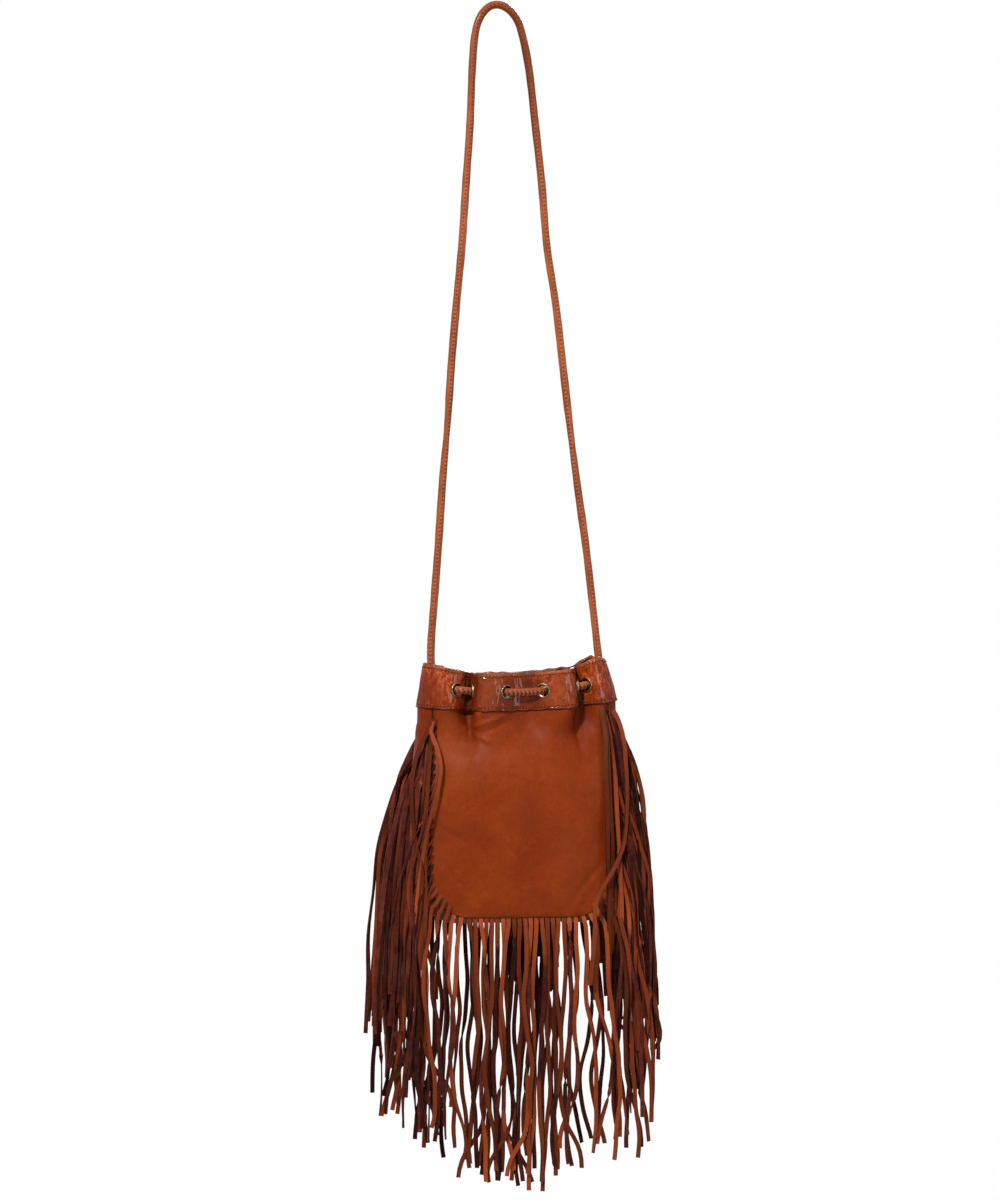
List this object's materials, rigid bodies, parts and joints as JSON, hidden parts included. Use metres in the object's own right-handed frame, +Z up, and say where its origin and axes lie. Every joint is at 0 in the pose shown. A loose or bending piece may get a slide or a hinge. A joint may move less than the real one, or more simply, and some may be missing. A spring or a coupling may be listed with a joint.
{
  "type": "fringed leather drawstring bag",
  "caption": "Tan leather drawstring crossbody bag with gathered collar, brass eyelets, a round cord strap and long thong fringe laced along its seams, hanging from the strap",
  "frame": {"origin": "The point where the cord hangs: the underside of the cord at the top of its loop.", "axes": "Front of the bag faces -Y, +X is to the right seen from the front, +Z is up."},
  "size_m": [0.2497, 0.0826, 1.0167],
  "materials": {
    "leather_smooth": "glazed tan, soft sheen",
    "leather_cord": "glazed tan",
    "thong_leather": "matt suede on one side",
    "antique_brass": "antique"
  },
  "bodies": {
    "root": {"collar": "leather_smooth", "front_panel": "leather_smooth", "back_panel": "leather_smooth", "gusset": "leather_smooth", "carry_cord": "leather_cord", "eyelet_front_1": "antique_brass", "eyelet_front_2": "antique_brass", "eyelet_front_3": "antique_brass", "eyelet_front_4": "antique_brass", "eyelet_front_5": "antique_brass", "eyelet_front_6": "antique_brass", "eyelet_back_1": "antique_brass", "eyelet_back_2": "antique_brass", "eyelet_back_3": "antique_brass", "eyelet_back_4": "antique_brass", "eyelet_back_5": "antique_brass", "eyelet_back_6": "antique_brass", "fringe_front_left": "thong_leather", "fringe_front_bottom": "thong_leather", "fringe_front_right": "thong_leather", "fringe_back_left": "thong_leather", "fringe_back_bottom": "thong_leather", "fringe_back_right": "thong_leather"}
  },
  "joints": []
}
